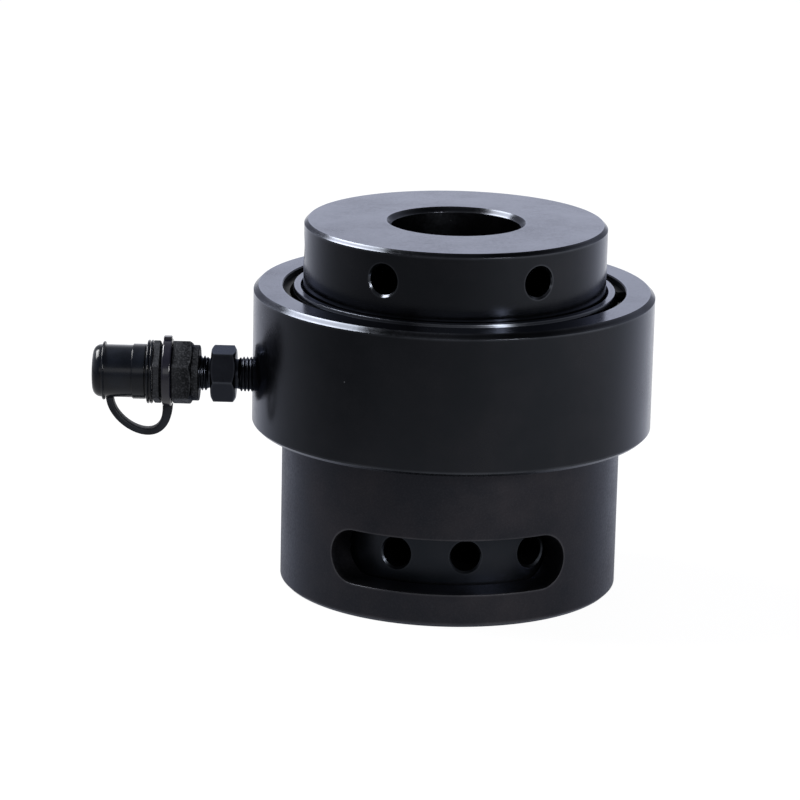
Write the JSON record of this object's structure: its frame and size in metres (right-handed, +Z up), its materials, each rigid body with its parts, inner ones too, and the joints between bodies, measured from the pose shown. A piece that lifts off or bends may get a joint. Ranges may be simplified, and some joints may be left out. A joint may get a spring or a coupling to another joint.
{
  "type": "hydraulic bolt tensioner",
  "caption": "Round hydraulic bolt tensioner: windowed bridge with a nut socket, annular cylinder and piston, threaded puller, and a side quick-connect nipple under a tethered dust cap.",
  "frame": {"origin": "centre of the round opening in the bridge's bottom face, on the stud's axis, in the plane of the joint face", "axes": "+Z up along the stud, -X out along the hose fitting, -Y out of the middle of the bridge's window"},
  "size_m": [0.2101, 0.15, 0.1381],
  "materials": {
    "blued_steel": "black oxide on turned steel, semi-gloss",
    "browned_steel": "black oxide on turned steel, slightly matte and brownish",
    "blued_fitting": "black oxide on a machined fitting",
    "phosphated_steel": "manganese phosphate, matte and grainy",
    "black_screw": "black oxide screw",
    "bright_steel": "turned steel, zinc plated",
    "spring_steel": "oil-tempered spring steel",
    "polyurethane": "moulded polyurethane",
    "ptfe": "turned PTFE",
    "phenolic": "fabric-filled phenolic",
    "nitrile": "moulded nitrile rubber",
    "cap_rubber": "moulded black rubber, satin"
  },
  "bodies": {
    "frame": {"bridge": "browned_steel", "bridge_set_screws": "black_screw", "cylinder_body": "blued_steel", "piston_stop_ring": "spring_steel", "port_adapter": "blued_fitting", "coupler_body": "phosphated_steel", "coupler_nipple": "bright_steel", "coupler_o_ring": "nitrile", "poppet_guide": "bright_steel", "poppet_spring": "spring_steel"},
    "nut_socket": {"nut_socket": "blued_steel"},
    "piston": {"piston": "blued_steel", "outer_piston_seal": "polyurethane", "outer_backup_ring": "ptfe", "outer_guide_ring": "phenolic", "inner_piston_seal": "polyurethane", "inner_backup_ring": "ptfe", "inner_guide_ring": "phenolic"},
    "puller": {"puller": "blued_steel"},
    "poppet": {"poppet": "bright_steel", "poppet_seal": "nitrile"},
    "cap_tether": {"strap_ring": "cap_rubber", "cap_strap": "cap_rubber"},
    "dust_cap": {"dust_cap": "cap_rubber"}
  },
  "joints": [
    {"name": "piston_stroke", "type": "slide", "parent": "frame", "child": "piston", "axis": [0, 0, 1], "range_m": [0, 0.01]},
    {"name": "puller_turn", "type": "hinge", "parent": "piston", "child": "puller", "pos_m": [0, 0, 0.1071], "axis": [0, 0, 1], "continuous": true},
    {"name": "socket_turn", "type": "hinge", "parent": "frame", "child": "nut_socket", "pos_m": [0, 0, 0.004], "axis": [0, 0, 1], "continuous": true},
    {"name": "poppet_press", "type": "slide", "parent": "frame", "child": "poppet", "axis": [1, 0, 0], "range_m": [0, 0.003], "stiffness_N_per_m": 2000, "springref_m": -0.003, "deforming": ["poppet_spring"]},
    {"name": "cap_ring_swivel", "type": "hinge", "parent": "frame", "child": "cap_tether", "pos_m": [-0.1069, 0, 0.0772], "axis": [1, 0, 0], "continuous": true},
    {"name": "dust_cap_pull", "type": "slide", "parent": "cap_tether", "child": "dust_cap", "axis": [-1, 0, 0], "range_m": [0, 0.02], "deforming": ["cap_strap"]}
  ]
}
